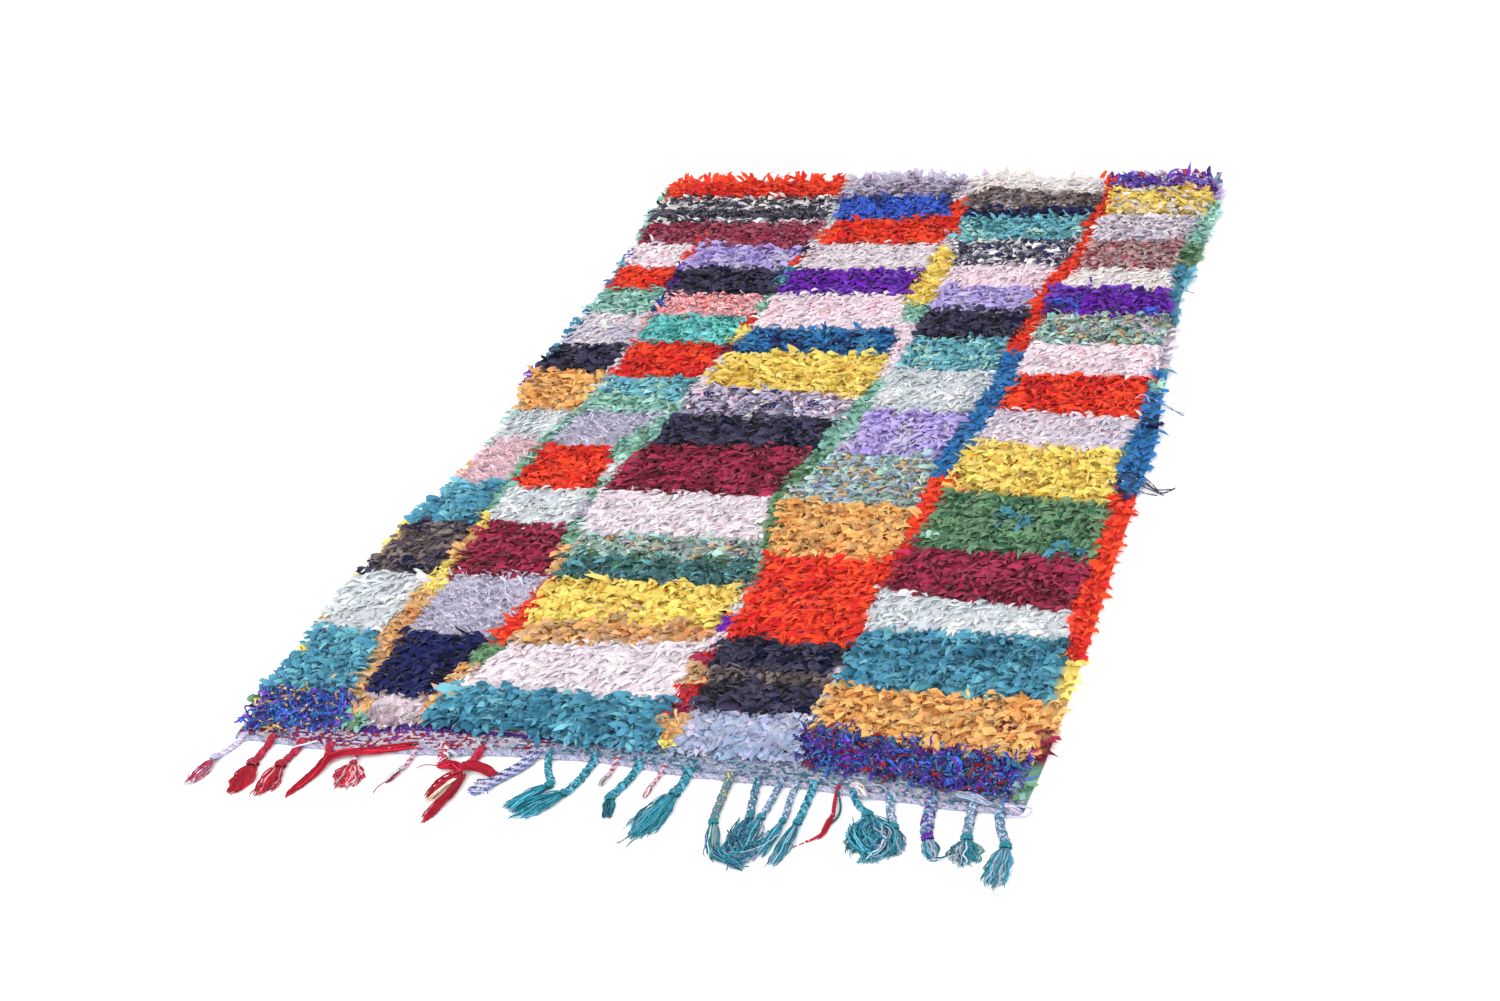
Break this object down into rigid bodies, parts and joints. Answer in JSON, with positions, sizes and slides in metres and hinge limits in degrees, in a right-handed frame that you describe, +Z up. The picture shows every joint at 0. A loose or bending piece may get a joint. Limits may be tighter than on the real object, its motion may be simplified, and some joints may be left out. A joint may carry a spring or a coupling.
{
  "type": "boucherouite rug",
  "caption": "Flat rag-pile rug with a lumpy shag top, locks of rag along three edges, and a woven band, twined end cord and knotted tassels at the fourth.",
  "frame": {"origin": "middle of the cloth's underside, on the surface that it lies on", "axes": "+Z up out of the pile, Y along the rug with the fringe at -Y, X across it"},
  "size_m": [1.5926, 2.7901, 0.0486],
  "materials": {
    "rag_pile": "matte cotton and jersey rag in blocks of many colours, on a woven ground",
    "tassel_yarn": "matte spun yarn, plaited and knotted, teal, red and grey"
  },
  "bodies": {
    "root": {"rug": "rag_pile", "fringe": "tassel_yarn"}
  },
  "joints": []
}
